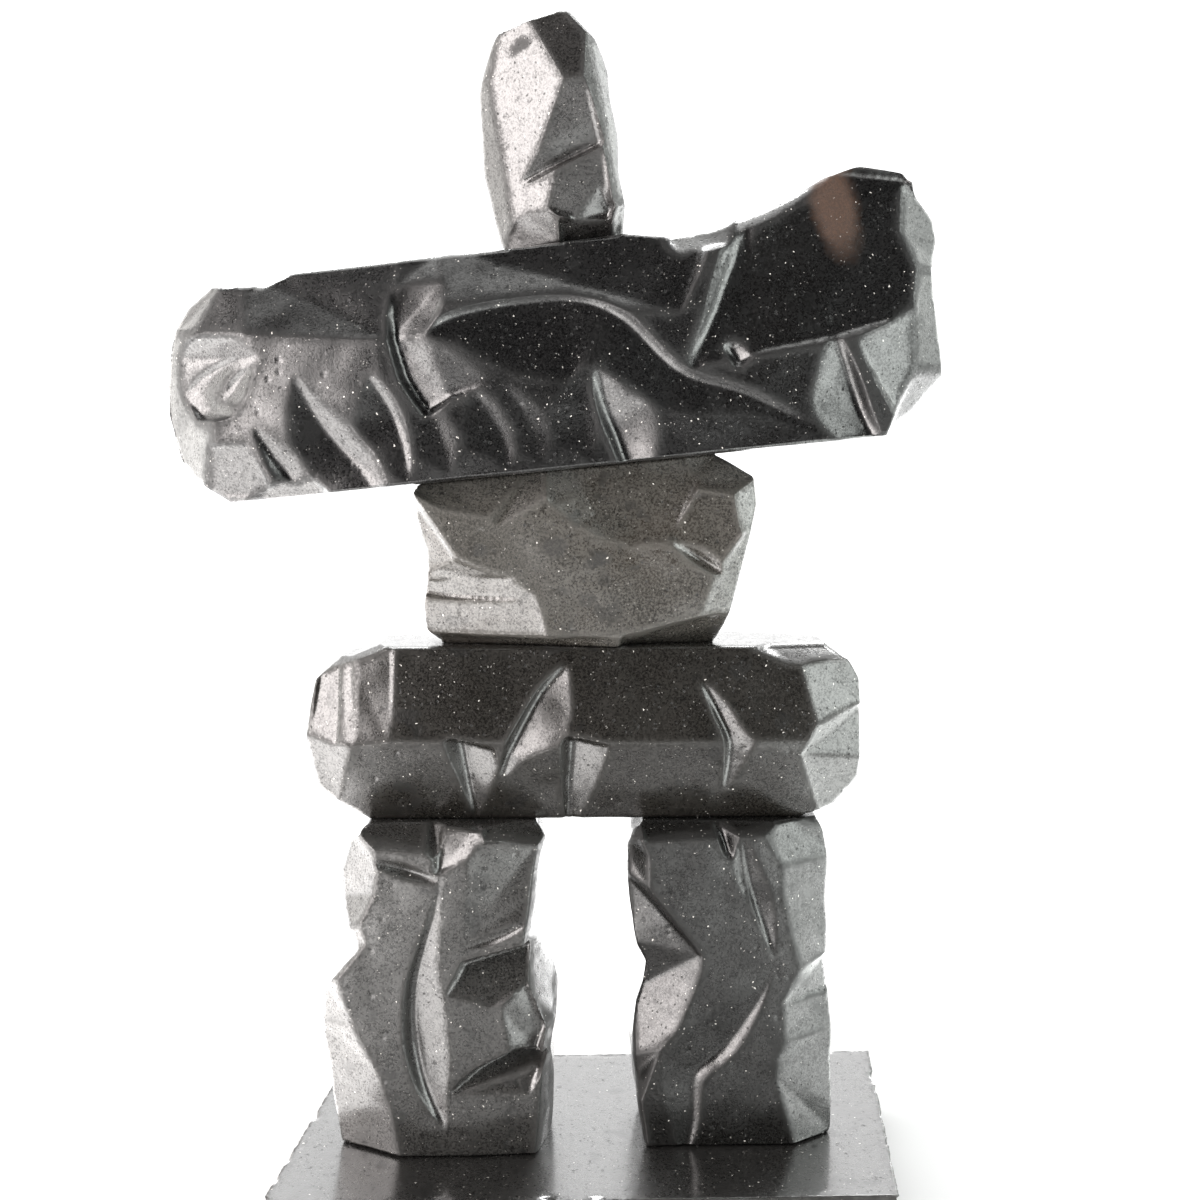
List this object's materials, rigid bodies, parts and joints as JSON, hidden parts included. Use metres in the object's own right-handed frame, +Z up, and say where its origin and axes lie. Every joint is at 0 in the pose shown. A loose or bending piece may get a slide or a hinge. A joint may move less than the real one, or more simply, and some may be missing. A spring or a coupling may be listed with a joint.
{
  "type": "inuit inukshuk sculpture",
  "caption": "standing inukshuk figure stacked from faceted dark stones, with legs, hip, torso, tilted arms and head, on a low stone slab",
  "frame": {"origin": "middle of the slab's underside, on the ground it stands on", "axes": "+Z up through the stack, +X to the viewer's right along the slab's front edge, the figure faces -Y"},
  "size_m": [0.2117, 0.091, 0.3218],
  "materials": {
    "slab_stone": "honed top, broken sides",
    "left_leg_stone": "satin polish",
    "right_leg_stone": "satin polish",
    "hip_stone": "satin polish",
    "torso_stone": "satin polish",
    "arm_stone": "satin polish",
    "head_stone": "satin polish"
  },
  "bodies": {
    "root": {"base_slab": "slab_stone", "left_leg": "left_leg_stone", "right_leg": "right_leg_stone", "hip_stone": "hip_stone", "torso_stone": "torso_stone", "arm_stone": "arm_stone", "head_stone": "head_stone"}
  },
  "joints": []
}
